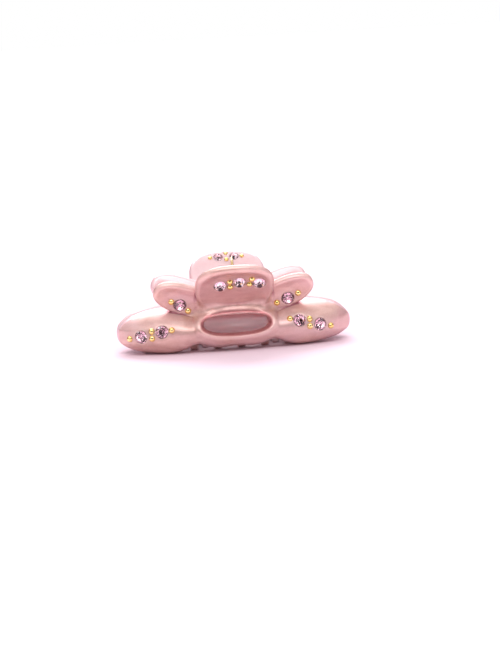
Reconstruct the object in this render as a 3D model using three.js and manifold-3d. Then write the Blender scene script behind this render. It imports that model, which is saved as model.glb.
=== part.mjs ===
// Rhinestone claw hair clip, closed and standing on the flat undersides of its two jaws.
// Millimetres, +Z up. X runs along the hinge pin and the front jaw faces -Y. The origin is on
// the floor under the middle of the pin. Both jaws come from the same formulas: the back jaw
// is the front one turned half a turn about Z, without the oval window and with its underside
// closer to the floor.
import * as THREE from 'three';
import { mergeGeometries, mergeVertices } from 'three/addons/utils/BufferGeometryUtils.js';
import Module from 'manifold-3d';

const wasm = await Module();
wasm.setup();

// Jaw shell: a barrel section that narrows to a closed tip at both ends.
const HALF_LENGTH = 29.8;
const WALL = 1.9;
const REACH = 10.3;          // mid-plane to the middle of the wall, at the fullest point
const BELLY_Z = 5.0;         // height of the fullest point
const RISE = 6.0;            // belly up to the top edge
const DROP = 4.65;           // belly down to the underside
const UNDERSIDE_POWER = 0.77; // squares the section below the belly
const WING_START = 8.0;      // where the top edge begins to fall towards the tip
const NOTCH_X = 9.8;         // dent between the window rim and each wing
const NOTCH_RISE = 2.3;
const NOTCH_PINCH = 0.5;     // the dent also draws the wall in towards the mid-plane
const RIM_RISE = 1.2;        // the window rim stands this much clear of the floor
const BACK_RISE_SHARE = 0.2; // how much of both rises the back jaw's underside has
const LOW_EDGE = THREE.MathUtils.degToRad(74);
const SHOULDER_X = 11.0;     // where the side petal overhangs the wing
const SHOULDER_DIP = 1.8;
const WAIST_EDGE_Y = 5.0;    // top edge of the shell at the hinge
const WING_EDGE_Y = 1.3;     // top edge of the shell along the wings

// Handle petals leave the waist at their own lean, in degrees, and curl outward.
const HANDLE_BASE = { y: 5.0, z: 10.4 };
const CENTRE_PETAL = { x: 0, s: 8.0, a: 9.9, b: 8.1, tilt: 0, lift: 0.6, power: 2.5, lean: 30, curl: 45 };
const SIDE_PETAL = { x: 11.9, s: 3.1, a: 8.8, b: 4.2, tilt: 23, lift: 0.2, power: 2.4, lean: 14, curl: 60 };
const PETAL_THICKNESS = 2.0;

// Oval window, cut along Y through the front jaw only.
const WINDOW = { halfWidth: 8.9, bottom: 4.4, top: 10.2, power: 2.4, nearY: 2.5, farY: 14.5 };

// Hinge.
const AXIS_Z = 13.0;
const PIN = { r: 0.8, halfLength: 9.7, headR: 1.4, headLength: 0.8 };
const PIN_CLEARANCE = 0.25;
const LUG_R = 2.3;
const LUG_WIDTH = 2.0;
const LUG_CENTRES = [-7.6, 5.2];
const COIL = { r: 2.6, wireR: 0.36, centreX: -1.2, halfLength: 2.6, turns: 5 };
const BACK_LEG = 13.4;       // its end shows above the front handle
const FRONT_LEG = 8.2;
const LEG_LEAN = 42;         // degrees from upright, close to the inner face of each handle

// Teeth interleave with those of the other jaw.
const TOOTH_PITCH = 6.0;
const TOOTH_WIDTH = 2.2;
const TOOTH_HEIGHT = 1.7;
const TOOTH_REACH = 1.5;     // past the mid-plane
const TEETH_PER_SIDE = 4;

// Trim: crystals and domed metal beads, each in a shallow drilled seat.
const RADIUS = { stone: 1.55, bead: 0.8 };
const SMALL_RADIUS = { stone: 1.1, bead: 0.6 };
const PAIR_SPREAD = 0.9;
const SEAT_DEPTH = 0.5;
const SEAT_GAP = 0.25;
const SEAT_CLEARANCE = 0.15;

const pearlPink = { color: 0xd9a3a3, roughness: 0.3, metalness: 0.25 };
const crystalRose = { color: 0x9a5a6c, roughness: 0.08, metalness: 0.2 };
const gold = { color: 0xe0b860, roughness: 0.22, metalness: 1.0 };

function mergedGeometry(geometry) {
  const bare = geometry.clone();
  bare.deleteAttribute('normal');
  bare.deleteAttribute('uv');
  return mergeVertices(bare, 1e-4);
}

function solid(geometry) {
  const merged = mergedGeometry(geometry);
  const vertProperties = new Float32Array(merged.attributes.position.array);
  const triVerts = new Uint32Array(merged.index.array);
  return new wasm.Manifold(new wasm.Mesh({ numProp: 3, vertProperties, triVerts }));
}

function geometryOf(manifold) {
  const mesh = manifold.getMesh();
  const geometry = new THREE.BufferGeometry();
  geometry.setAttribute('position', new THREE.Float32BufferAttribute(mesh.vertProperties, 3));
  geometry.setIndex(new THREE.Uint32BufferAttribute(mesh.triVerts, 1));
  geometry.computeVertexNormals();
  return geometry;
}

function gridSolid(rows) {
  // Rows of closed rings, with a fan cap on the first and the last ring.
  const count = rows[0].length;
  const points = rows.flat();
  const faces = [];
  for (let i = 0; i < rows.length - 1; i++) {
    for (let j = 0; j < count; j++) {
      const a = i * count + j;
      const b = i * count + (j + 1) % count;
      faces.push(a, a + count, b, b, a + count, b + count);
    }
  }
  const last = (rows.length - 1) * count;
  const centres = [rows[0], rows.at(-1)].map(ring => {
    const middle = new THREE.Vector3();
    ring.forEach(point => middle.add(point));
    return middle.divideScalar(count);
  });
  points.push(...centres);
  for (let j = 0; j < count; j++) {
    const k = (j + 1) % count;
    faces.push(points.length - 2, j, k);
    faces.push(points.length - 1, last + k, last + j);
  }
  const geometry = new THREE.BufferGeometry().setFromPoints(points);
  geometry.setIndex(faces);
  return geometry;
}

function bump(x, centre, width) {
  return Math.exp(-(((x - centre) / width) ** 2));
}

function wingTaper(x) {
  const u = Math.max(0, (Math.abs(x) - WING_START) / (HALF_LENGTH - WING_START));
  return Math.max(0, 1 - u ** 3.2) ** 0.6;
}

// Middle of the jaw wall, as the distance from the mid-plane and the height, at angle phi
// from the belly: +90 degrees is the top edge side and -90 degrees the underside.
function jawMiddle(x, phi, riseShare) {
  const far = Math.abs(x);
  const pinch = NOTCH_PINCH * bump(far, NOTCH_X, 2.4);
  const reach = REACH * Math.sqrt(Math.max(0, 1 - (far / (HALF_LENGTH + 0.4)) ** 2.6)) - pinch;
  const taper = wingTaper(x);
  if (phi > 0) {
    const rise = RISE * taper - SHOULDER_DIP * bump(far, SHOULDER_X, 3.6);
    return [reach * Math.cos(phi), BELLY_Z + rise * Math.sin(phi)];
  }
  const lift = NOTCH_RISE * bump(far, NOTCH_X, 3.8) + RIM_RISE * bump(far, 0, 6);
  const drop = DROP * taper - riseShare * lift;
  return [
    reach * Math.cos(phi) ** UNDERSIDE_POWER,
    BELLY_Z - drop * Math.sin(-phi) ** UNDERSIDE_POWER,
  ];
}

function jawEdgeAngle(x) {
  const t = THREE.MathUtils.smoothstep(Math.abs(x), 7, 15);
  const edge = THREE.MathUtils.lerp(WAIST_EDGE_Y, WING_EDGE_Y, t);
  const reach = jawMiddle(x, 0, 1)[0];
  return Math.acos(Math.min(0.9, edge / reach));
}

function jawSection(x, steps, riseShare) {
  // A closed ring: outer face from the underside to the top edge, then the inner face back.
  const high = jawEdgeAngle(x);
  const half = WALL / 2 * Math.min(1, 0.35 + 1.04 * wingTaper(x));
  const nudge = 0.01;
  const outer = [];
  const inner = [];
  for (let i = 0; i <= steps; i++) {
    const t = i / steps;
    const phi = THREE.MathUtils.lerp(-LOW_EDGE, high, t);
    const [y, z] = jawMiddle(x, phi, riseShare);
    const [y1, z1] = jawMiddle(x, phi + nudge, riseShare);
    const [y0, z0] = jawMiddle(x, phi - nudge, riseShare);
    const normal = new THREE.Vector2(z1 - z0, y0 - y1).normalize();
    const round = Math.sqrt(Math.max(0.12, 1 - Math.abs(2 * t - 1) ** 12));
    outer.push(new THREE.Vector3(x, -(y + normal.x * half * round), z + normal.y * half * round));
    inner.push(new THREE.Vector3(x, -(y - normal.x * half * round), z - normal.y * half * round));
  }
  return [...outer, ...inner.reverse()];
}

function jawShell(riseShare) {
  const stations = 36;
  const steps = 9;
  const rows = [];
  for (let i = 0; i <= stations; i++) {
    // Half-way between even spacing and spacing that is closer towards the tips.
    const closer = -HALF_LENGTH * Math.cos(Math.PI * i / stations);
    const even = HALF_LENGTH * (2 * i / stations - 1);
    rows.push(jawSection((closer + even) / 2, steps, riseShare));
  }
  return solid(gridSolid(rows));
}

// A point on a petal's sheet: x across, s up the sheet from the waist, height off its middle.
function handlePoint(shape, x, s, height) {
  const start = THREE.MathUtils.degToRad(shape.lean);
  const lean = start + s / shape.curl;
  const y = HANDLE_BASE.y + shape.curl * (Math.cos(start) - Math.cos(lean));
  const z = HANDLE_BASE.z + shape.curl * (Math.sin(lean) - Math.sin(start));
  return new THREE.Vector3(x, -(y + height * Math.cos(lean)), z - height * Math.sin(lean));
}

function petal(shape, side, sectors) {
  // Pillow on the handle sheet: rings shrink to the middle on the outer and the inner face.
  const rings = [0.45, 0.75, 0.92, 0.99];
  const tilt = THREE.MathUtils.degToRad(shape.tilt);
  const half = PETAL_THICKNESS / 2;
  const ring = (r, sign) => Array.from({ length: sectors }, (_, j) => {
    const angle = 2 * Math.PI * j / sectors;
    const c = Math.cos(angle);
    const d = Math.sin(angle);
    const round = 1 / (Math.abs(c) ** shape.power + Math.abs(d) ** shape.power) ** (1 / shape.power);
    const along = r * round * shape.a * c;
    const across = r * round * shape.b * d;
    const x = shape.x + along * Math.cos(tilt) - across * Math.sin(tilt);
    const s = shape.s + along * Math.sin(tilt) + across * Math.cos(tilt);
    const height = shape.lift + sign * half * Math.sqrt(1 - r ** 8);
    return handlePoint(shape, side * x, s, height);
  });
  const rows = [...rings.map(r => ring(r, 1)), ring(1, 0), ...rings.toReversed().map(r => ring(r, -1))];
  const ordered = side > 0 ? rows : rows.map(row => row.toReversed());
  return solid(gridSolid(ordered));
}

function windowCutter() {
  const middle = (WINDOW.top + WINDOW.bottom) / 2;
  const halfHeight = (WINDOW.top - WINDOW.bottom) / 2;
  const points = Array.from({ length: 40 }, (_, i) => {
    const angle = 2 * Math.PI * i / 40;
    const c = Math.cos(angle);
    const d = Math.sin(angle);
    const round = 1 / (Math.abs(c) ** WINDOW.power + Math.abs(d) ** WINDOW.power) ** (1 / WINDOW.power);
    return new THREE.Vector2(round * c * WINDOW.halfWidth, middle + round * d * halfHeight);
  });
  const depth = WINDOW.farY - WINDOW.nearY;
  const prism = new THREE.ExtrudeGeometry(new THREE.Shape(points), { depth, bevelEnabled: false });
  prism.rotateX(Math.PI / 2);
  prism.translate(0, -WINDOW.nearY, 0);
  return solid(prism);
}

function alongX(profile, width, centre) {
  // Extrudes a profile drawn in (Y, Z) by a width along X, about a centre.
  const prism = new THREE.ExtrudeGeometry(profile, { depth: width, bevelEnabled: false, curveSegments: 6 });
  prism.applyMatrix4(new THREE.Matrix4().makeBasis(
    new THREE.Vector3(0, 1, 0), new THREE.Vector3(0, 0, 1), new THREE.Vector3(1, 0, 0)));
  prism.translate(centre - width / 2, 0, 0);
  return solid(prism);
}

function lug(centre) {
  const reach = THREE.MathUtils.degToRad(62);
  const profile = new THREE.Shape();
  profile.moveTo(-5.4, 11.2);
  profile.lineTo(-0.6, AXIS_Z - LUG_R * 0.95);
  profile.absarc(0, AXIS_Z, LUG_R, -Math.PI / 2, Math.PI / 2 + reach / 2, false);
  profile.lineTo(-6.9, 14.6);
  profile.closePath();
  const hole = new THREE.Path();
  hole.absarc(0, AXIS_Z, PIN.r + PIN_CLEARANCE, 0, 2 * Math.PI, true);
  profile.holes.push(hole);
  return alongX(profile, LUG_WIDTH, centre);
}

function tooth(centre, riseShare) {
  // Curves down and in from the lower edge of the shell, past the mid-plane.
  const [edgeY, edgeZ] = jawMiddle(centre, -LOW_EDGE, riseShare);
  const root = -edgeY - 1.6;
  const profile = new THREE.Shape();
  profile.moveTo(root, edgeZ - 0.4);
  profile.quadraticCurveTo(-edgeY, -0.2, 1 - edgeY, -0.2);
  profile.lineTo(TOOTH_REACH - 0.5, -0.2);
  profile.quadraticCurveTo(TOOTH_REACH + 0.2, 0.6, TOOTH_REACH - 0.4, TOOTH_HEIGHT - 0.3);
  profile.lineTo(-0.5, TOOTH_HEIGHT);
  profile.quadraticCurveTo(0.5 - edgeY, TOOTH_HEIGHT, root, edgeZ + 0.9);
  profile.closePath();
  return alongX(profile, TOOTH_WIDTH, centre);
}

function jaw(hasWindow) {
  const riseShare = hasWindow ? 1 : BACK_RISE_SHARE;
  let body = jawShell(riseShare);
  body = body.add(petal(CENTRE_PETAL, 1, 30));
  for (const side of [-1, 1]) {
    body = body.add(petal(SIDE_PETAL, side, 24));
  }
  if (hasWindow) {
    body = body.subtract(windowCutter());
  }
  for (const centre of LUG_CENTRES) {
    body = body.add(lug(centre));
  }
  for (let i = -TEETH_PER_SIDE; i < TEETH_PER_SIDE; i++) {
    body = body.add(tooth((i + 0.25) * TOOTH_PITCH, riseShare));
  }
  const floor = new THREE.BoxGeometry(80, 40, 10).translate(0, 0, -5);
  return body.subtract(solid(floor));
}

// Where a straight line along Y meets a shell: at (x, z) from outside, or from the mid-plane.
function surfaceAt(shell, x, z, fromInside) {
  const start = new THREE.Vector3(x, fromInside ? 0 : -40, z);
  const direction = new THREE.Vector3(0, fromInside ? -1 : 1, 0);
  const hit = new THREE.Raycaster(start, direction).intersectObject(shell)[0];
  return { point: hit.point, normal: hit.face.normal.clone() };
}

function placed(geometry, seat, depth) {
  // The geometry's +Y axis stands on the surface, sunk by a depth.
  const turn = new THREE.Quaternion().setFromUnitVectors(new THREE.Vector3(0, 1, 0), seat.normal);
  geometry.translate(0, -depth, 0);
  geometry.applyQuaternion(turn);
  return geometry.translate(seat.point.x, seat.point.y, seat.point.z);
}

function lathe(profile, sides) {
  return new THREE.LatheGeometry(profile.map(([r, h]) => new THREE.Vector2(r, h)), sides);
}

function stone(r) {
  const height = 0.9 * r;
  return lathe([[0, 0], [r, 0], [r, 0.3 * height], [0.55 * r, height], [0, height]], 8);
}

function bead(r) {
  return lathe([[0, 0], [r, 0], [0.8 * r, 0.9 * r], [0, 1.4 * r]], 8);
}

function seatCutter(r) {
  return new THREE.CylinderGeometry(r + SEAT_CLEARANCE, r + SEAT_CLEARANCE, 2.5, 8).translate(0, 1.25, 0);
}

const STONE = { make: stone, kind: 'stone', finish: crystalRose };
const BEAD = { make: bead, kind: 'bead', finish: gold };

// A row on a wing: bead, stone, a pair of beads one above the other, stone, bead.
function wingRow(area, side, x, z, slope) {
  const row = [
    [BEAD, 5.5, 0], [STONE, 2.75, 0], [BEAD, 0, PAIR_SPREAD], [BEAD, 0, -PAIR_SPREAD],
    [STONE, -2.5, 0.2], [BEAD, -5.0, 0.1],
  ];
  return row.map(([type, out, up]) => ({ area, ...type, x: side * (x + out), z: z + up - slope * out }));
}

function at(area, type, x, z, inside = false, small = false) {
  return { area, ...type, x, z, inside, small };
}

const outerTrim = [
  ...wingRow('left_wing', -1, 21.3, 5.6, 0.19),
  ...wingRow('right_wing', 1, 18.5, 6.0, 0.26),
  at('left_petal', BEAD, -15.8, 13.3),
  at('left_petal', STONE, -13.7, 12.2),
  at('left_petal', BEAD, -11.7, 10.6),
  at('right_petal', BEAD, 16.2, 13.3),
  at('right_petal', STONE, 13.6, 12.1),
  at('right_petal', BEAD, 10.8, 11.1),
  at('centre_petal', STONE, -3.7, 17.0),
  at('centre_petal', BEAD, -1.3, 18.1),
  at('centre_petal', BEAD, -1.2, 16.7),
  at('centre_petal', STONE, 1.1, 17.7),
  at('centre_petal', BEAD, 4.2, 18.5),
  at('centre_petal', BEAD, 3.6, 17.1),
  at('centre_petal', STONE, 6.1, 17.2),
];

// Small trim on the inner face of the back petal, near its tip.
const innerTrim = [
  at('tip', BEAD, 4.0, 21.2, true, true),
  at('tip', STONE, 1.9, 21.3, true, true),
  at('tip', BEAD, -0.2, 22.0, true, true),
  at('tip', BEAD, -0.2, 20.6, true, true),
  at('tip', STONE, -2.3, 21.3, true, true),
  at('tip', BEAD, -4.3, 21.2, true, true),
];

// Torsion spring: a leg along each handle, joined by the coil round the pin.
class SpringPath extends THREE.Curve {
  constructor() {
    super();
    this.lean = THREE.MathUtils.degToRad(LEG_LEAN);
    this.sweep = 2 * Math.PI * COIL.turns + Math.PI - 2 * this.lean;
    const total = BACK_LEG + COIL.r * this.sweep + FRONT_LEG;
    this.backShare = BACK_LEG / total;
    this.frontShare = FRONT_LEG / total;
  }
  getPoint(t, target = new THREE.Vector3()) {
    const coilShare = 1 - this.backShare - this.frontShare;
    const turn = THREE.MathUtils.clamp((t - this.backShare) / coilShare, 0, 1);
    const angle = -this.lean - turn * this.sweep;
    const x = COIL.centreX + COIL.halfLength * (1 - 2 * turn);
    target.set(x, COIL.r * Math.cos(angle), AXIS_Z + COIL.r * Math.sin(angle));
    const pastBack = Math.max(0, 1 - t / this.backShare) * BACK_LEG;
    const pastFront = Math.max(0, 1 - (1 - t) / this.frontShare) * FRONT_LEG;
    target.y += (pastBack - pastFront) * Math.sin(this.lean);
    target.z += (pastBack + pastFront) * Math.cos(this.lean);
    return target;
  }
}

function spring() {
  const section = new THREE.Shape();
  section.absarc(0, 0, COIL.wireR, 0, 2 * Math.PI);
  const path = new SpringPath();
  return new THREE.ExtrudeGeometry(section, { steps: 110, extrudePath: path, curveSegments: 3 });
}

function hingePin() {
  const shank = PIN.halfLength - PIN.headLength;
  const profile = [
    [0, -PIN.halfLength], [PIN.headR, -PIN.halfLength], [PIN.headR, -shank], [PIN.r, -shank],
    [PIN.r, shank], [PIN.headR, shank], [PIN.headR, PIN.halfLength], [0, PIN.halfLength],
  ];
  return lathe(profile, 12).rotateZ(Math.PI / 2).translate(0, 0, AXIS_Z);
}

const clip = new THREE.Group();

function addMesh(parent, name, geometry, finish) {
  const mesh = new THREE.Mesh(geometry, new THREE.MeshStandardMaterial(finish));
  mesh.name = name;
  parent.add(mesh);
  return mesh;
}

// One half of the clip: its jaw with a drilled seat under each piece of trim.
function addHalf(side, turn, hasWindow, trim) {
  const half = new THREE.Group();
  half.rotation.z = turn;
  clip.add(half);
  let body = jaw(hasWindow);
  const shell = new THREE.Mesh(geometryOf(body));
  const counts = {};
  for (const item of trim) {
    const size = item.small ? SMALL_RADIUS[item.kind] : RADIUS[item.kind];
    const seat = surfaceAt(shell, item.x, item.z, item.inside);
    body = body.subtract(solid(placed(seatCutter(size), seat, SEAT_DEPTH)));
    const key = `${side}_${item.area}_${item.kind}`;
    counts[key] = (counts[key] ?? 0) + 1;
    addMesh(half, `${key}_${counts[key]}`, placed(item.make(size), seat, SEAT_DEPTH - SEAT_GAP), item.finish);
  }
  addMesh(half, `${side}_jaw`, geometryOf(body.simplify(0.03)), pearlPink);
}

addHalf('front', 0, true, outerTrim);
addHalf('back', Math.PI, false, [...outerTrim, ...innerTrim]);
addMesh(clip, 'hinge_pin', hingePin(), gold);
addMesh(clip, 'torsion_spring', spring(), gold);

export default clip;
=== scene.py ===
import math

import bpy
import numpy as np
from mathutils import Matrix, Vector


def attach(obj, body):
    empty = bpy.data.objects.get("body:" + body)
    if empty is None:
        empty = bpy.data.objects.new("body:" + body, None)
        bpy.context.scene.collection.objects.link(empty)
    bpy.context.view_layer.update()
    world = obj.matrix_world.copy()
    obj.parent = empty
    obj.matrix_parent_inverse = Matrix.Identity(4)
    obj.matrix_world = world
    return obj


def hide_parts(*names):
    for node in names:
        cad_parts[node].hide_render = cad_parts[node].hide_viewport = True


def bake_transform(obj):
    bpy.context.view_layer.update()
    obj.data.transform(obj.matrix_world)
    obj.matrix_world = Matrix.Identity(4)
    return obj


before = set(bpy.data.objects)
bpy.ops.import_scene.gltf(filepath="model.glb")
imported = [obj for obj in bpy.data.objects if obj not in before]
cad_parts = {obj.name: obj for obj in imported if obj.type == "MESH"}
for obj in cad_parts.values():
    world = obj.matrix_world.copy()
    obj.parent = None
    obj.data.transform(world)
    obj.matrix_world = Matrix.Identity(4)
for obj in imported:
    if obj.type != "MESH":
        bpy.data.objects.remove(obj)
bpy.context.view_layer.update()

MM = 0.001
GRID_STEP = 0.17

# Jaw shell.
HALF_LENGTH = 29.8
WALL = 1.9
REACH = 10.3
BELLY_Z = 5.0
RISE = 6.0
DROP = 4.65
WING_START = 8.0
NOTCH_X = 9.8
NOTCH_RISE = 2.3
NOTCH_PINCH = 0.5
RIM_RISE = 1.2
BACK_RISE_SHARE = 0.2
LOW_EDGE = math.radians(74)
SHOULDER_X = 11.0
SHOULDER_DIP = 1.8
WAIST_EDGE_Y = 5.0
WING_EDGE_Y = 1.3
UNDERSIDE_POWER = 0.77
SECTION_MARGIN = 0.12
GRID_LOW = (-31.0, -3.0, -0.7)
GRID_HIGH = (31.0, 17.6, 23.8)

# Handle petals.
HANDLE_BASE = (5.0, 10.4)
CENTRE_PETAL = dict(x=0, s=8.0, a=9.9, b=8.1, tilt=0, lift=0.6, power=2.5, lean=30, curl=45)
SIDE_PETAL = dict(x=11.9, s=3.1, a=8.8, b=4.2, tilt=23, lift=0.2, power=2.4, lean=14, curl=60)
PETAL_HALF = 1.0
PETAL_MERGE, TIP_MERGE = 2.4, 0.5      # blend widths at the waist and at the tips
SIDE_TIP_MERGE = 0.45

WINDOW = dict(half_width=8.9, bottom=4.4, top=10.2, power=2.4)

# Hinge.
AXIS_Z = 13.0
PIN_R = 0.8
PIN_CLEARANCE = 0.25
LUG_R = 2.3
LUG_HALF_WIDTH = 1.0
LUG_CENTRES = (-7.6, 5.2)
WEB_START, WEB_END, WEB_R = (0.6, AXIS_Z + 0.1), (5.6, 12.9), 1.75

# Teeth.
TOOTH_PITCH = 6.0
TOOTH_REACH = 1.5
TOOTH_HEIGHT = 1.7
TEETH_PER_SIDE = 4
TOOTH_HALF_WIDTH = 1.1


# ---------------------------------------------------------------- distance fields

def smooth_min(a, b, k):
    h = np.clip(0.5 + 0.5 * (b - a) / k, 0, 1)
    return b + (a - b) * h - k * h * (1 - h)


def smooth_max(a, b, k):
    return -smooth_min(-a, -b, k)


def bump(x, centre, width):
    return np.exp(-((x - centre) / width) ** 2)


def smoothstep(x, low, high):
    t = np.clip((x - low) / (high - low), 0, 1)
    return t * t * (3 - 2 * t)


def wing_taper(far):
    u = np.maximum(0, (far - WING_START) / (HALF_LENGTH - WING_START))
    return np.maximum(0, 1 - np.minimum(u, 1) ** 3.2) ** 0.6


def section(far, share):
    """Half width, rise and drop of the jaw's barrel section at a distance from the middle."""
    pinch = NOTCH_PINCH * bump(far, NOTCH_X, 2.4)
    reach = REACH * np.sqrt(np.maximum(0.002, 1 - (far / (HALF_LENGTH + 0.4)) ** 2.6)) - pinch
    taper = wing_taper(far)
    rise = RISE * taper - SHOULDER_DIP * bump(far, SHOULDER_X, 3.6)
    drop = DROP * taper - share * (NOTCH_RISE * bump(far, NOTCH_X, 3.8) + RIM_RISE * bump(far, 0, 6))
    return np.maximum(reach, 0.15), np.maximum(rise, 0.15), np.maximum(drop, 0.15)


def barrel(share, x, y, z):
    """1 on the middle of the jaw wall, less inside and more outside."""
    reach, rise, drop = section(np.abs(x), share)
    u = np.abs(y) / reach
    up = np.sqrt(u ** 2 + (np.maximum(z - BELLY_Z, 0) / rise) ** 2)
    n = 2 / UNDERSIDE_POWER
    down = (u ** n + (np.maximum(BELLY_Z - z, 0) / drop) ** n) ** (1 / n)
    return np.where(z > BELLY_Z, up, down)


def off_barrel(share, x, y, z, step=0.05):
    """First-order distance out from the middle of the jaw wall."""
    gx = (barrel(share, x + step, y, z) - barrel(share, x - step, y, z)) / (2 * step)
    gy = (barrel(share, x, y + step, z) - barrel(share, x, y - step, z)) / (2 * step)
    gz = (barrel(share, x, y, z + step) - barrel(share, x, y, z - step)) / (2 * step)
    slope = np.sqrt(gx ** 2 + gy ** 2 + gz ** 2)
    return (barrel(share, x, y, z) - 1) / np.maximum(slope, 0.02)


def shell_field(share, off_middle, x, y, z):
    far = np.abs(x)
    taper = wing_taper(far)
    half = WALL / 2 * np.minimum(1, 0.35 + 1.04 * taper)
    wall = np.abs(off_middle) - half
    reach, rise, drop = section(far, share)
    edge = WAIST_EDGE_Y + (WING_EDGE_Y - WAIST_EDGE_Y) * smoothstep(far, 7, 15)
    top_edge = np.minimum(edge, 0.9 * reach)
    low_edge = reach * math.cos(LOW_EDGE) ** UNDERSIDE_POWER
    limit = np.where(z > BELLY_Z, top_edge, low_edge) - y
    d = smooth_max(wall, limit, 0.9)
    d = np.maximum(d, far - HALF_LENGTH)
    # The first-order distance is only good near the section, so its box bounds it.
    margin = half + SECTION_MARGIN
    beyond = smooth_max(z - BELLY_Z - rise, BELLY_Z - drop - z, 0.8)
    beyond = smooth_max(beyond, y - reach, 0.8) - margin
    return smooth_max(d, beyond, 0.25)


def petal_field(shape, side, x, y, z):
    start = math.radians(shape["lean"])
    curl = shape["curl"]
    centre_y = HANDLE_BASE[0] + curl * math.cos(start)
    centre_z = HANDLE_BASE[1] - curl * math.sin(start)
    rho = np.hypot(y - centre_y, z - centre_z)
    lean = np.arctan2(z - centre_z, centre_y - y)
    s = (lean - start) * curl
    height = curl - rho - shape["lift"]
    tilt = math.radians(shape["tilt"])
    dx = side * x - shape["x"]
    ds = s - shape["s"]
    along = (dx * math.cos(tilt) + ds * math.sin(tilt)) / shape["a"]
    across = (ds * math.cos(tilt) - dx * math.sin(tilt)) / shape["b"]
    p = shape["power"]
    k = np.maximum((np.abs(along) ** p + np.abs(across) ** p) ** (1 / p), 1e-3)
    slope = k ** (1 - p) * np.hypot(
        np.abs(along) ** (p - 1) / shape["a"], np.abs(across) ** (p - 1) / shape["b"])
    rim = (k - 1) / np.maximum(slope, 0.03)
    # A rolled lip round the top and the sides: the sheet is thickest just inside its rim and
    # slightly dished in the upper middle.
    roll = np.exp(-((rim + 0.9) / 1.6) ** 2) * (1 - 0.9 * smoothstep(-across, -0.1, 0.6))
    half = PETAL_HALF + 0.12 * roll
    upper = smoothstep(across, -0.1, 0.75)
    dished = height + (0.05 + 0.27 * upper) * (1 - roll)
    return np.hypot(np.maximum(rim + half, 0), dished) - half


def window_rim(x, z):
    middle = (WINDOW["top"] + WINDOW["bottom"]) / 2
    half_height = (WINDOW["top"] - WINDOW["bottom"]) / 2
    p = WINDOW["power"]
    u = np.abs(x) / WINDOW["half_width"]
    v = np.abs(z - middle) / half_height
    k = np.maximum((u ** p + v ** p) ** (1 / p), 1e-3)
    slope = k ** (1 - p) * np.hypot(u ** (p - 1) / WINDOW["half_width"], v ** (p - 1) / half_height)
    return (k - 1) / np.maximum(slope, 0.03)


def segment_distance(y, z, start, end):
    dy, dz = end[0] - start[0], end[1] - start[1]
    t = np.clip(((y - start[0]) * dy + (z - start[1]) * dz) / (dy * dy + dz * dz), 0, 1)
    return np.hypot(y - start[0] - t * dy, z - start[1] - t * dz)


def slab(profile, across, half_width, rounding):
    """A profile distance carried along X to a half width, with rounded edges."""
    a = profile + rounding
    b = np.abs(across) - half_width + rounding
    return np.hypot(np.maximum(a, 0), np.maximum(b, 0)) + np.minimum(np.maximum(a, b), 0) - rounding


def lug_field(centre, x, y, z):
    eye = np.hypot(y, z - AXIS_Z) - LUG_R
    web = segment_distance(y, z, WEB_START, WEB_END) - WEB_R
    d = slab(smooth_min(eye, web, 0.5), x - centre, LUG_HALF_WIDTH, 0.3)
    hole = PIN_R + PIN_CLEARANCE - np.hypot(y, z - AXIS_Z)
    return smooth_max(d, hole, 0.15)


def tooth_field(share, centre, x, y, z):
    reach, _, drop = (float(v) for v in section(np.abs(np.array(centre)), share))
    edge_y = reach * math.cos(LOW_EDGE) ** UNDERSIDE_POWER
    edge_z = BELLY_Z - drop * math.sin(LOW_EDGE) ** UNDERSIDE_POWER
    middle = TOOTH_HEIGHT / 2
    bend = (edge_y - 0.6, middle)
    root = segment_distance(y, z, (edge_y + 1.2, edge_z + 0.25), bend)
    prong = segment_distance(y, z, bend, (0.75 - TOOTH_REACH, middle))
    taper = 0.25 * smoothstep(-y, -4.5, 1.5)
    d = np.minimum(root, prong) - middle + 0.4 * taper
    return slab(d, x - centre, TOOTH_HALF_WIDTH - taper, 0.45)


def near(x, centre, width):
    """False only where a whole slice across X is clear of a feature."""
    return np.ndim(x) > 0 or abs(x - centre) < width


def seat_field(seat, x, y, z):
    """Inside the drilled seat of one stone or bead: a flat-sided recess with a conical floor."""
    point, normal, r, depth = seat
    dx, dy, dz = x - point[0], y - point[1], z - point[2]
    height = dx * normal[0] + dy * normal[1] + dz * normal[2]
    radial = np.sqrt(np.maximum(dx ** 2 + dy ** 2 + dz ** 2 - height ** 2, 0))
    cone = 0.8 * (-height - depth) + 0.6 * radial
    return np.maximum(radial - r, cone)


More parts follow.
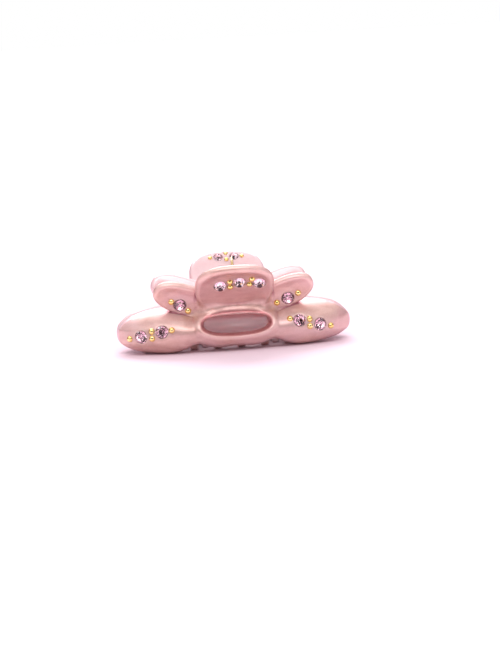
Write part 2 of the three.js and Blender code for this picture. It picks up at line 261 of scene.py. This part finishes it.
def jaw_field(has_window, seats, x, y, z):
    """Distance to one jaw, with y the distance out from the mid-plane."""
    share = 1 if has_window else BACK_RISE_SHARE
    off_middle = off_barrel(share, x, y, z)
    d = shell_field(share, off_middle, x, y, z)
    if has_window:
        around = window_rim(x, z)
        lip = np.hypot(around - 0.65, off_middle - 0.45) - 0.87
        lip = np.maximum(lip, 3.0 - y)
        d = smooth_min(d, lip, 0.55)
    centre = petal_field(CENTRE_PETAL, 1, x, y, z)
    sides = np.minimum(petal_field(SIDE_PETAL, 1, x, y, z), petal_field(SIDE_PETAL, -1, x, y, z))
    # The petals melt into the waist and stand free towards their tips.
    merge = PETAL_MERGE - (PETAL_MERGE - TIP_MERGE) * smoothstep(z, 10.5, 15.5)
    free = smoothstep(np.abs(x), 8.5, 13.0)
    d = smooth_min(d, sides, merge + (SIDE_TIP_MERGE - merge) * free)
    d = smooth_min(d, centre, merge)
    if has_window:
        # The opening narrows towards the mid-plane.
        draft = 0.32 * np.clip(section(np.abs(x), share)[0] + WALL / 2 - y, 0, 3)
        opening = np.maximum(around + draft, 2.6 - y)
        d = smooth_max(d, -opening, 0.45)
    for lug_centre in LUG_CENTRES:
        if near(x, lug_centre, 2.5):
            d = smooth_min(d, lug_field(lug_centre, x, y, z), 0.4)
    for i in range(-TEETH_PER_SIDE, TEETH_PER_SIDE):
        tooth_centre = (i + 0.25) * TOOTH_PITCH
        if near(x, tooth_centre, 2.5):
            d = smooth_min(d, tooth_field(share, tooth_centre, x, y, z), 0.5)
    for seat in seats:
        if near(x, seat[0][0], 3.0):
            d = smooth_max(d, -seat_field(seat, x, y, z), 0.12)
    return smooth_max(d, -z, 0.12)


def sampled(field, low, shape):
    """The field on a grid, one slice across X at a time."""
    y = low[1] + GRID_STEP * np.arange(shape[1])[:, None]
    z = low[2] + GRID_STEP * np.arange(shape[2])[None, :]
    values = np.empty(shape)
    for i in range(shape[0]):
        values[i] = field(low[0] + GRID_STEP * i, y, z)
    return values


# ---------------------------------------------------------------- surface nets

CORNERS = [(i, j, k) for i in (0, 1) for j in (0, 1) for k in (0, 1)]
EDGES = [
    (a, b) for a in range(8) for b in range(a + 1, 8)
    if sum(p != q for p, q in zip(CORNERS[a], CORNERS[b])) == 1
]


def surface_net(values, low, step):
    """Vertices and quads of the zero level of a grid of values."""
    inside = values < 0
    cells = [n - 1 for n in values.shape]
    corner_inside = np.stack([
        inside[i:i + cells[0], j:j + cells[1], k:k + cells[2]] for i, j, k in CORNERS
    ])
    mixed = corner_inside.any(0) & ~corner_inside.all(0)
    index = np.argwhere(mixed)
    corner_values = np.stack([
        values[index[:, 0] + i, index[:, 1] + j, index[:, 2] + k] for i, j, k in CORNERS
    ])
    total = np.zeros((len(index), 3))
    count = np.zeros(len(index))
    for a, b in EDGES:
        va, vb = corner_values[a], corner_values[b]
        crosses = (va < 0) != (vb < 0)
        t = np.where(crosses, va / np.where(crosses, va - vb, 1), 0)
        point = np.array(CORNERS[a]) + t[:, None] * (np.array(CORNERS[b]) - np.array(CORNERS[a]))
        total += point * crosses[:, None]
        count += crosses
    points = low + (index + total / count[:, None]) * step
    number = np.full(mixed.shape, -1)
    number[mixed] = np.arange(len(index))
    quads = []
    for axis in range(3):
        u, v = [a for a in range(3) if a != axis]
        first = [slice(1, -1)] * 3
        first[axis] = slice(0, -1)
        second = list(first)
        second[axis] = slice(1, None)
        here, there = inside[tuple(first)], inside[tuple(second)]
        spots = np.argwhere(here != there)
        starts_inside = here[tuple(spots.T)]
        spots[:, u] += 1
        spots[:, v] += 1
        ring = []
        for du, dv in ((-1, -1), (0, -1), (0, 0), (-1, 0)):
            cell = spots.copy()
            cell[:, u] += du
            cell[:, v] += dv
            ring.append(number[tuple(cell.T)])
        quad = np.stack(ring, 1)
        flip = starts_inside if axis == 1 else ~starts_inside
        quad[flip] = quad[flip][:, ::-1]
        quads.append(quad)
    return points, np.concatenate(quads)


def gradient(field, points, step=0.02):
    return np.stack([
        (field(*(points + o).T) - field(*(points - o).T)) / (2 * step) for o in np.eye(3) * step
    ], 1)


def settle(field, points, passes=2):
    """Moves points onto the zero level and returns them with the normals there."""
    for _ in range(passes):
        slope = gradient(field, points)
        size = np.maximum(np.linalg.norm(slope, axis=1), 0.3)
        move = np.clip(field(*points.T) / size, -0.08, 0.08)
        points = points - slope / size[:, None] * move[:, None]
    slope = gradient(field, points)
    return points, slope / np.maximum(np.linalg.norm(slope, axis=1), 0.01)[:, None]


# ---------------------------------------------------------------- pieces

FRONT = np.array([1, -1, 1])
BACK = np.array([-1, 1, 1])


def new_object(name, points, faces, smooth=True):
    mesh = bpy.data.meshes.new(name)
    mesh.from_pydata((np.asarray(points) * MM).tolist(), [], [list(f) for f in faces])
    mesh.polygons.foreach_set("use_smooth", [smooth] * len(mesh.polygons))
    mesh.update()
    made = bpy.data.objects.new(name, mesh)
    bpy.context.collection.objects.link(made)
    return made


def add_values(piece, name, values):
    layer = piece.data.attributes.new(name, "FLOAT", "POINT")
    layer.data.foreach_set("value", np.asarray(values, dtype=np.float32))


def make_jaw(name, has_window, seats, turn):
    def field(x, y, z):
        return jaw_field(has_window, seats, x, y, z)
    low, high = np.array(GRID_LOW), np.array(GRID_HIGH)
    shape = np.ceil((high - low) / GRID_STEP).astype(int) + 1
    points, quads = surface_net(sampled(field, low, shape), low, GRID_STEP)
    points, normal = settle(field, points)
    # Sheltered places, for painted shade in recesses: how much nearer the surface is than an open plane
    # would be.
    painted_shade_occlusion = np.zeros(len(points))
    for reach in (0.7, 1.6, 3.2):
        painted_shade_occlusion += np.clip(1 - field(*(points + normal * reach).T) / reach, 0, 1.5) / 3
    # Bend: above zero on rounded edges and below zero in creases.
    h = 0.35
    nearby = sum(field(*(points + sign * o).T) for o in np.eye(3) * h for sign in (1, -1))
    piece = new_object(name, points * turn, quads[:, ::-1])
    add_values(piece, "painted_shade_occlusion", painted_shade_occlusion)
    add_values(piece, "bend", np.clip(nearby / h ** 2, -3, 3))
    # The faces towards the other jaw, and the teeth, are painted paler than the outside: painted light
    # for light that doesn't reach the inside.
    inside_painted_light = np.maximum(smoothstep(-normal[:, 1], -0.1, 0.4), smoothstep(-points[:, 1], -3.8, -3.2))
    add_values(piece, "inside_painted_light", inside_painted_light)
    # Painted shade: the wall of the window's opening is painted dark red.
    around = window_rim(points[:, 0], points[:, 2])
    hole = np.exp(-((around + 0.25) / 0.5) ** 2) * smoothstep(points[:, 1], 3.0, 5.0) * has_window
    add_values(piece, "hole", hole)
    # Painted light: the sheltered lower middle of the inside is painted the palest, near white, for
    # light that doesn't reach it.
    painted_light_low_middle = inside_painted_light * smoothstep(normal[:, 2], -0.5, 0.3) * smoothstep(-points[:, 2], -9.0, -6.5)
    painted_light_low_middle *= smoothstep(-np.abs(points[:, 0]), -12.0, -8.5)
    add_values(piece, "painted_light_low_middle", painted_light_low_middle)
    return piece


def find_seat(has_window, x, z, r, depth, from_inside):
    """Where a straight line along Y first meets the bare jaw."""
    y = 0.0 if from_inside else 18.0
    direction = 1 if from_inside else -1
    for _ in range(400):
        d = float(jaw_field(has_window, [], x, y, z))
        if d < 0.002:
            break
        y += direction * max(0.5 * d, 0.002)
    point = np.array([x, y, z])
    slope = gradient(lambda *p: jaw_field(has_window, [], *p), point[None, :])[0]
    return point, slope / np.linalg.norm(slope), r, depth


# ---------------------------------------------------------------- trim

STONE_R, BEAD_R = 1.55, 0.8
SMALL_STONE_R, SMALL_BEAD_R = 1.1, 0.6
PAIR_SPREAD = 0.9
SUNK = 0.5
STONE_PLAY, BEAD_PLAY = 0.06, 0.05
BEAD_SEAT_DEPTH = 0.45
BEAD_SCALE = 1.04


def wing_row(area, side, x, z, slope):
    row = [
        ("bead", 5.5, 0), ("stone", 2.75, 0), ("bead", 0, PAIR_SPREAD), ("bead", 0, -PAIR_SPREAD),
        ("stone", -2.5, 0.2), ("bead", -5.0, 0.1),
    ]
    return [(area, kind, side * (x + out), z + up - slope * out) for kind, out, up in row]


OUTER_TRIM = [
    *wing_row("left_wing", -1, 21.3, 5.6, 0.19),
    *wing_row("right_wing", 1, 18.5, 6.0, 0.26),
    ("left_petal", "bead", -15.8, 13.3),
    ("left_petal", "stone", -13.7, 12.2),
    ("left_petal", "bead", -11.7, 10.6),
    ("right_petal", "bead", 16.2, 13.3),
    ("right_petal", "stone", 13.6, 12.1),
    ("right_petal", "bead", 10.8, 11.1),
    ("centre_petal", "stone", -3.7, 17.0),
    ("centre_petal", "bead", -1.3, 18.1),
    ("centre_petal", "bead", -1.2, 16.7),
    ("centre_petal", "stone", 1.1, 17.7),
    ("centre_petal", "bead", 4.2, 18.5),
    ("centre_petal", "bead", 3.6, 17.1),
    ("centre_petal", "stone", 6.1, 17.2),
]
INNER_TRIM = [
    ("tip", "bead", 4.0, 21.2),
    ("tip", "stone", 1.9, 21.3),
    ("tip", "bead", -0.2, 22.0),
    ("tip", "bead", -0.2, 20.6),
    ("tip", "stone", -2.3, 21.3),
    ("tip", "bead", -4.3, 21.2),
]


def trim_seats(has_window, trim, inner):
    """Name, kind and seat of each stone and bead of one half."""
    side = "front" if has_window else "back"
    counts = {}
    found = []
    for area, kind, x, z in trim + inner:
        small = area == "tip"
        counts[area, kind] = counts.get((area, kind), 0) + 1
        if kind == "stone":
            r = SMALL_STONE_R if small else STONE_R
            seat = find_seat(has_window, x, z, r + STONE_PLAY, 0.57 * r + 0.7, small)
        else:
            r = BEAD_SCALE * (SMALL_BEAD_R if small else BEAD_R)
            seat = find_seat(has_window, x, z, r + BEAD_PLAY, BEAD_SEAT_DEPTH, small)
        found.append((f"{side}_{area}_{kind}_{counts[area, kind]}", kind, r, seat))
    return found


def ring(r, z, count, start=0.0):
    angles = [start + 2 * math.pi * i / count for i in range(count)]
    return [(r * math.cos(angle), r * math.sin(angle), z) for angle in angles]


def stone_mesh(r):
    """A round brilliant: table, stars, kites and girdle facets over a foiled pavilion."""
    top, girdle, low_girdle = 0.9 * r - SUNK, 0.3 * r - SUNK + 0.06, 0.3 * r - SUNK - 0.1
    table_r, mid_r = 0.56 * r, 0.84 * r
    half = math.pi / 8
    share = (mid_r * math.cos(half) - table_r) / (r - table_r)
    mid = top + (girdle - top) * share
    points = ring(table_r, top, 8) + ring(mid_r, mid, 8, half) + ring(r, girdle, 16)
    crown = [tuple(range(8))]
    for i in range(8):
        after, before = (i + 1) % 8, (i - 1) % 8
        crown.append((i, 8 + i, after))
        crown.append((i, 8 + before, 16 + 2 * i, 8 + i))
        crown.append((8 + i, 16 + 2 * i, 16 + 2 * i + 1))
        crown.append((8 + i, 16 + 2 * i + 1, 16 + (2 * i + 2) % 16))
    base = len(points)
    points += ring(r, low_girdle, 16) + ring(0.55 * r, low_girdle - 0.4 * r, 8, half)
    points.append((0, 0, low_girdle - 0.87 * r))
    foil = []
    for i in range(16):
        crown.append((16 + i, base + i, base + (i + 1) % 16, 16 + (i + 1) % 16))
    for i in range(8):
        low, after = base + 16 + i, base + 16 + (i + 1) % 8
        foil.append((base + 2 * i, low, base + 2 * i + 1))
        foil.append((base + 2 * i + 1, low, base + (2 * i + 2) % 16))
        foil.append((base + (2 * i + 2) % 16, low, after))
        foil.append((low, base + 24, after))
    return points, crown, foil


def bead_mesh(r):
    """A domed nail head on a short straight foot."""
    profile = [(r * 0.94, -SUNK), (r, -SUNK + 0.1), (r, -SUNK + 0.3)]
    for i in range(1, 13):
        angle = math.radians(90 * i / 12)
        profile.append((r * math.cos(angle), -SUNK + 0.3 + (1.4 * r - 0.3) * math.sin(angle)))
    count = 24
    points, faces = [], []
    for radius, height in profile[:-1]:
        points += ring(radius, height, count)
    points.append((0, 0, profile[-1][1]))
    points.append((0, 0, -SUNK))
    for i in range(len(profile) - 2):
        for j in range(count):
            k = (j + 1) % count
            faces.append((i * count + j, i * count + k, (i + 1) * count + k, (i + 1) * count + j))
    last = (len(profile) - 2) * count
    for j in range(count):
        k = (j + 1) % count
        faces.append((last + j, last + k, len(points) - 2))
        faces.append((k, j, len(points) - 1))
    return points, faces


def stand_on(points, seat, turn, spin):
    """Moves local points, with +Z outward, to stand on a seat of one half."""
    origin, outward = seat[0] * turn, seat[1] * turn
    across = np.cross(outward, [0.0, 0.0, 1.0])
    across /= np.linalg.norm(across)
    up = np.cross(outward, across)
    c, s = math.cos(spin), math.sin(spin)
    basis = np.stack([across * c + up * s, up * c - across * s, outward])
    return np.asarray(points) @ basis + origin


def add_trim(found, turn, body):
    for number, (name, kind, r, seat) in enumerate(found):
        spin = 0.9 * number
        if kind == "stone":
            points, crown, foil = stone_mesh(r)
            piece = new_object(name + "_cut", stand_on(points, seat, turn, spin), crown + foil, False)
            piece.data.materials.append(crystal_material)
            piece.data.materials.append(foil_material)
            for polygon in piece.data.polygons:
                polygon.material_index = int(polygon.index >= len(crown))
        else:
            points, faces = bead_mesh(r)
            piece = new_object(name + "_dome", stand_on(points, seat, turn, spin), faces)
            piece.data.materials.append(gold_material)
        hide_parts(name)
        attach(piece, body)


# ---------------------------------------------------------------- hinge

PIN_HALF_LENGTH, PIN_HEAD_R, PIN_HEAD_LENGTH = 9.7, 1.4, 0.8
COIL_R, WIRE_R, COIL_CENTRE_X, COIL_HALF_LENGTH, COIL_TURNS = 2.6, 0.36, -1.2, 2.6, 5
BACK_LEG, FRONT_LEG, LEG_LEAN = 13.4, 8.2, math.radians(42)
LEG_STEPS, COIL_STEPS = 9, 170
END_SHARE = 0.6


def lathe_x(profile, count):
    """A closed solid of revolution about the pin's axis from (x, r) pairs."""
    points, faces = [], []
    for x, r in profile:
        points += [
            (x, r * math.cos(2 * math.pi * j / count), AXIS_Z + r * math.sin(2 * math.pi * j / count))
            for j in range(count)
        ]
    for i in range(len(profile) - 1):
        for j in range(count):
            k = (j + 1) % count
            faces.append((i * count + j, (i + 1) * count + j, (i + 1) * count + k, i * count + k))
    last = (len(profile) - 1) * count
    faces.append(tuple(range(count)))
    faces.append(tuple(last + j for j in reversed(range(count))))
    return points, faces


def pin_profile():
    shank = PIN_HALF_LENGTH - PIN_HEAD_LENGTH
    half = [(shank + 0.02, PIN_R), (shank + 0.02, PIN_HEAD_R - 0.2)]
    middle = shank + PIN_HEAD_LENGTH / 2
    for i in range(7):
        angle = math.radians(-65 + 26 * i)
        half.append((middle + 0.4 * math.sin(angle), PIN_HEAD_R - 0.3 + 0.3 * math.cos(angle)))
    half.append((PIN_HALF_LENGTH, PIN_HEAD_R - 0.6))
    return [(-x, r) for x, r in reversed(half)] + half


def spring_path():
    """Leg along the back handle, coil round the pin, leg along the front handle."""
    sweep = 2 * math.pi * COIL_TURNS + math.pi - 2 * LEG_LEAN
    points = []
    for i in range(LEG_STEPS):
        points.append((1, BACK_LEG * (1 - i / LEG_STEPS), 0))
    for i in range(COIL_STEPS + 1):
        points.append((0, 0, i / COIL_STEPS))
    for i in range(1, LEG_STEPS + 1):
        points.append((-1, FRONT_LEG * i / LEG_STEPS, 1))
    path = []
    for side, past, turn in points:
        angle = -LEG_LEAN - turn * sweep
        y = COIL_R * math.cos(angle) + side * past * math.sin(LEG_LEAN)
        z = AXIS_Z + COIL_R * math.sin(angle) + past * math.cos(LEG_LEAN)
        path.append((COIL_CENTRE_X + COIL_HALF_LENGTH * (1 - 2 * turn), y, z))
    return np.array(path)


def tube(path, r, count):
    """A round wire along a path, with rounded ends."""
    along = np.gradient(path, axis=0)
    along /= np.linalg.norm(along, axis=1)[:, None]
    side = np.cross(along[0], [1.0, 0.0, 0.0])
    side /= np.linalg.norm(side)
    rows = []
    for i in range(len(path)):
        side = side - along[i] * np.dot(side, along[i])
        side /= np.linalg.norm(side)
        other = np.cross(along[i], side)
        size = END_SHARE * r if i in (0, len(path) - 1) else r
        angles = 2 * math.pi * np.arange(count) / count
        rows.append(path[i] + size * (np.outer(np.cos(angles), side) + np.outer(np.sin(angles), other)))
    points = np.concatenate(rows)
    faces = []
    for i in range(len(path) - 1):
        for j in range(count):
            k = (j + 1) % count
            faces.append((i * count + j, i * count + k, (i + 1) * count + k, (i + 1) * count + j))
    last = (len(path) - 1) * count
    faces.append(tuple(reversed(range(count))))
    faces.append(tuple(last + j for j in range(count)))
    return points, faces


# ---------------------------------------------------------------- materials

class Nodes:
    """Short calls for building a node tree."""

    def __init__(self, name):
        self.material = bpy.data.materials.new(name)
        self.material.use_nodes = True
        self.tree = self.material.node_tree
        self.shader = self.tree.nodes["Principled BSDF"]

    def add(self, kind, inputs=None, **settings):
        node = self.tree.nodes.new(kind)
        for key, value in settings.items():
            setattr(node, key, value)
        for key, value in (inputs or {}).items():
            if isinstance(value, bpy.types.NodeSocket):
                self.tree.links.new(value, node.inputs[key])
            else:
                node.inputs[key].default_value = value
        return node

    def place(self):
        return self.add("ShaderNodeTexCoord").outputs["Object"]

    def noise(self, scale, detail=3.0, distortion=0.0, where=None):
        node = self.add("ShaderNodeTexNoise", {
            "Vector": where or self.place(), "Scale": scale, "Detail": detail, "Distortion": distortion,
        })
        return node.outputs["Fac"]

    def value(self, name):
        return self.add("ShaderNodeAttribute", attribute_name=name).outputs["Fac"]

    def span(self, value, low, high, to_low=0.0, to_high=1.0):
        return self.add("ShaderNodeMapRange", {
            "Value": value, "From Min": low, "From Max": high, "To Min": to_low, "To Max": to_high,
        }).outputs["Result"]

    def mix(self, share, first, second):
        node = self.add("ShaderNodeMix", data_type="RGBA")
        # Sockets 0, 6 and 7 are the factor and the two colours.
        for number, value in ((0, share), (6, first), (7, second)):
            socket = node.inputs[number]
            if isinstance(value, bpy.types.NodeSocket):
                self.tree.links.new(value, socket)
            else:
                socket.default_value = value
        return node.outputs[2]

    def bump(self, height, strength, distance):
        return self.add("ShaderNodeBump", {
            "Height": height, "Strength": strength, "Distance": distance,
        }).outputs["Normal"]

    def set(self, **inputs):
        for key, value in inputs.items():
            socket = self.shader.inputs[key.replace("_", " ")]
            if isinstance(value, bpy.types.NodeSocket):
                self.tree.links.new(value, socket)
            else:
                socket.default_value = value


def pearl_plastic():
    n = Nodes("pearl_plastic")
    painted_shade_occlusion, bend = n.value("painted_shade_occlusion"), n.value("bend")
    # Swirls of pearl pigment, drawn out along the flow of the mould.
    flow = n.add("ShaderNodeMapping", {"Vector": n.place(), "Scale": (1.0, 1.4, 2.2)}).outputs["Vector"]
    swirl = n.noise(170.0, 4.0, 1.2, flow)
    cloud = n.noise(60.0, 2.0, 0.6, flow)
    flake = n.add("ShaderNodeTexVoronoi", {"Vector": n.place(), "Scale": 9000.0}).outputs["Color"]
    rose = n.mix(n.span(swirl, 0.35, 0.65), (0.54, 0.33, 0.29, 1), (0.66, 0.44, 0.395, 1))
    rose = n.mix(n.span(cloud, 0.4, 0.62, 0.0, 0.6), rose, (0.62, 0.41, 0.425, 1))
    rose = n.mix(n.span(bend, 0.2, 1.2, 0.0, 0.35), rose, (0.80, 0.58, 0.54, 1))
    # Painted light: the faces towards the other jaw and the teeth are paler.
    rose = n.mix(n.span(n.value("inside_painted_light"), 0.0, 1.0, 0.0, 0.8), rose, (0.80, 0.57, 0.60, 1))
    # Painted light: near white low in the middle of the inside.
    rose = n.mix(n.span(n.value("painted_light_low_middle"), 0.0, 1.0, 0.0, 0.95), rose, (1.0, 0.90, 0.92, 1))
    # Painted shade: dark red on the wall of the window's opening.
    rose = n.mix(n.span(n.value("hole"), 0.0, 1.0, 0.0, 0.92), rose, (0.42, 0.14, 0.15, 1))
    # Painted shade: darker red in sheltered recesses.
    rose = n.mix(n.span(painted_shade_occlusion, 0.5, 1.2, 0.0, 0.3), rose, (0.52, 0.20, 0.20, 1))
    # Painted shade: dark mauve in creases.
    rose = n.mix(n.span(bend, -0.4, -1.8, 0.0, 0.75), rose, (0.30, 0.08, 0.12, 1))
    sparkle = n.add("ShaderNodeSeparateColor", {"Color": flake}).outputs["Red"]
    rose = n.mix(n.span(sparkle, 0.6, 1.0, 0.0, 0.16), rose, (1.0, 0.80, 0.78, 1))
    grain = n.noise(2600.0, 2.0)
    n.set(
        Base_Color=rose, Metallic=0.5, Roughness=n.span(swirl, 0.3, 0.7, 0.32, 0.42), IOR=1.5,
        Subsurface_Weight=0.8, Subsurface_Radius=(1.0, 0.8, 0.78), Subsurface_Scale=0.004,
        Coat_Weight=0.12, Coat_Roughness=0.18, Coat_IOR=1.45,
        Specular_IOR_Level=0.35, Specular_Tint=(0.66, 0.38, 0.50, 1),
        Normal=n.bump(grain, 0.12, 0.00004),
    )
    return n.material


def crystal_glass():
    n = Nodes("crystal_glass")
    streak = n.noise(900.0, 2.0)
    n.set(
        Base_Color=n.mix(n.span(streak, 0.3, 0.7), (1.0, 0.90, 0.93, 1), (1.0, 0.94, 0.96, 1)),
        Roughness=n.span(n.noise(3000.0), 0.3, 0.7, 0.0, 0.02), IOR=1.56, Transmission_Weight=1.0,
        Coat_Weight=0.0,
    )
    return n.material


def rose_foil():
    n = Nodes("rose_foil")
    mottle = n.noise(2200.0, 3.0)
    n.set(
        Base_Color=n.mix(n.span(mottle, 0.35, 0.65), (0.93, 0.70, 0.78, 1), (0.98, 0.82, 0.88, 1)),
        Metallic=1.0, Roughness=n.span(mottle, 0.3, 0.7, 0.03, 0.07),
    )
    return n.material


def polished_gold(name, deep, bright, low, high):
    n = Nodes(name)
    mottle = n.noise(700.0, 3.0, 0.4)
    scratch = n.add("ShaderNodeMapping", {"Vector": n.place(), "Scale": (1.0, 9.0, 9.0)})
    fine = n.noise(1800.0, 3.0, 0.2, scratch.outputs["Vector"])
    n.set(
        Base_Color=n.mix(n.span(mottle, 0.35, 0.65), deep, bright),
        Metallic=1.0, Roughness=n.span(fine, 0.3, 0.7, low, high),
        Normal=n.bump(fine, 0.25, 0.00002),
    )
    return n.material


pearl_material = pearl_plastic()
crystal_material = crystal_glass()
foil_material = rose_foil()
gold_material = polished_gold("polished_gold", (0.92, 0.68, 0.22, 1), (1.0, 0.84, 0.40, 1), 0.06, 0.14)
wire_material = polished_gold("spring_wire", (0.72, 0.50, 0.24, 1), (0.92, 0.74, 0.44, 1), 0.18, 0.32)

front_trim = trim_seats(True, OUTER_TRIM, [])
back_trim = trim_seats(False, OUTER_TRIM, INNER_TRIM)
front_shell = make_jaw("front_moulding", True, [t[3] for t in front_trim], FRONT)
back_shell = make_jaw("back_moulding", False, [t[3] for t in back_trim], BACK)
for piece, node, body in (
        (front_shell, "front_jaw", "front_half"), (back_shell, "back_jaw", "back_half")):
    piece.data.materials.append(pearl_material)
    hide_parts(node)
    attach(piece, body)
add_trim(front_trim, FRONT, "front_half")
add_trim(back_trim, BACK, "back_half")

pin = new_object("headed_pin", *lathe_x(pin_profile(), 40))
pin.data.materials.append(wire_material)
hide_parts("hinge_pin")
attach(pin, "back_half")

coil = new_object("coil_spring", *tube(spring_path(), WIRE_R, 14))
coil.data.materials.append(wire_material)
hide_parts("torsion_spring")
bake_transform(coil)


# ---------------------------------------------------------------- camera, floor and lights

CAMERA_AZIMUTH = math.radians(-5.3)
CAMERA_ELEVATION = math.radians(9.5)
CAMERA_ROLL = math.radians(3.3)
CAMERA_DISTANCE = 0.45
FOCAL_PIXELS = 1755.8
FRAME_SIZE = (500, 645)
ORIGIN_PIXEL = (234.6, 344.8)
SENSOR_WIDTH = 36.0

FLOOR_HALF = 15.0
WALL_R, WALL_HEIGHT, WALL_STEPS = 0.9, 0.55, 24
WALL_START, WALL_SWEEP = -25, 230      # degrees
SHEET_ROUGHNESS = 0.8
LAMP_TARGET = Vector((0, 0, 0.01))


def add_camera():
    a, e, roll = CAMERA_AZIMUTH, CAMERA_ELEVATION, CAMERA_ROLL
    back = Vector((math.sin(a) * math.cos(e), -math.cos(a) * math.cos(e), math.sin(e)))
    right = Vector((math.cos(a), math.sin(a), 0))
    up = back.cross(right)
    rolled_right = right * math.cos(roll) - up * math.sin(roll)
    rolled_up = right * math.sin(roll) + up * math.cos(roll)
    scale = CAMERA_DISTANCE / FOCAL_PIXELS
    x_off = (ORIGIN_PIXEL[0] - FRAME_SIZE[0] / 2) * scale
    y_off = -(ORIGIN_PIXEL[1] - FRAME_SIZE[1] / 2) * scale
    place = back * CAMERA_DISTANCE - rolled_right * x_off - rolled_up * y_off
    data = bpy.data.cameras.new("camera")
    data.sensor_width = SENSOR_WIDTH
    data.lens = FOCAL_PIXELS / max(FRAME_SIZE) * SENSOR_WIDTH
    data.clip_start, data.clip_end = 0.01, 20
    camera = bpy.data.objects.new("camera", data)
    bpy.context.collection.objects.link(camera)
    turned = Matrix((rolled_right, rolled_up, back)).transposed().to_4x4()
    turned.translation = place
    camera.matrix_world = turned
    bpy.context.scene.camera = camera


def add_area(name, place, size, power):
    data = bpy.data.lights.new(name, "AREA")
    data.shape = "RECTANGLE"
    data.size, data.size_y = size
    data.energy = power
    lamp = bpy.data.objects.new(name, data)
    bpy.context.collection.objects.link(lamp)
    lamp.location = place
    lamp.rotation_euler = (LAMP_TARGET - Vector(place)).to_track_quat("-Z", "Y").to_euler()


def wall_material():
    n = Nodes("mauve_wall")
    n.set(Base_Color=n.mix(n.noise(6.0), (0.30, 0.17, 0.22, 1), (0.34, 0.20, 0.26, 1)), Roughness=0.9)
    return n.material


def add_sheet(name, corners, colour, far_colour=None):
    sheet = new_object(name, np.array(corners) / MM, [(0, 1, 2, 3)], False)
    n = Nodes(name)
    tint = n.mix(n.span(n.noise(40.0), 0.3, 0.7), colour, tuple(0.985 * c for c in colour[:3]) + (1,))
    if far_colour:
        away = n.add("ShaderNodeVectorMath", {"Vector": n.place()}, operation="LENGTH").outputs["Value"]
        tint = n.mix(n.span(away, 0.08, 0.3), tint, far_colour)
    n.set(Base_Color=tint, Roughness=SHEET_ROUGHNESS, Specular_IOR_Level=0.0)
    sheet.data.materials.append(n.material)
    return sheet


add_camera()
# The floor is painted pink under the clip, a painted tint of pink light bounced into its shadow, and
# white further off.
add_sheet(
    "floor",
    [(x * FLOOR_HALF, y * FLOOR_HALF, 0) for x, y in ((-1, -1), (1, -1), (1, 1), (-1, 1))],
    (0.83, 0.67, 0.75, 1), (0.97, 0.95, 0.96, 1))
# A dark panel stands round the camera, out of its sight, for the dark cores in the reflections.
panel = add_sheet(
    "dark_panel",
    [(-0.42, -0.5, 0.0), (0.34, -0.5, 0.0), (0.34, -0.44, 0.52), (-0.42, -0.44, 0.52)],
    (0.02, 0.016, 0.014, 1))
panel.visible_camera = False
panel.visible_shadow = False
panel.visible_diffuse = False
# A low mauve wall behind and at both sides, also out of sight, which the silhouettes mirror.
wall_points = []
for i in range(WALL_STEPS + 1):
    angle = math.radians(WALL_START + WALL_SWEEP * i / WALL_STEPS)
    for height in (0.0, WALL_HEIGHT):
        wall_points.append((WALL_R * math.cos(angle), WALL_R * math.sin(angle), height))
wall = new_object(
    "low_wall", np.array(wall_points) / MM,
    [(2 * i, 2 * i + 2, 2 * i + 3, 2 * i + 1) for i in range(WALL_STEPS)])
wall.data.materials.append(wall_material())
wall.visible_camera = False
wall.visible_shadow = False

world = bpy.data.worlds.new("studio")
world.use_nodes = True
world.node_tree.nodes["Background"].inputs["Color"].default_value = (1.0, 1.0, 1.0, 1)
world.node_tree.nodes["Background"].inputs["Strength"].default_value = 1.0
bpy.context.scene.world = world
sun = bpy.data.lights.new("key", "SUN")
sun.energy, sun.angle = 2.6, math.radians(50)
key = bpy.data.objects.new("key", sun)
bpy.context.collection.objects.link(key)
key.rotation_euler = (math.radians(-45), 0, math.radians(2))
add_area("top", (-0.03, -0.41, 0.43), (0.5, 0.22), 1.5)
bpy.context.scene.view_settings.view_transform = "Standard"
bpy.context.scene.view_settings.look = "None"
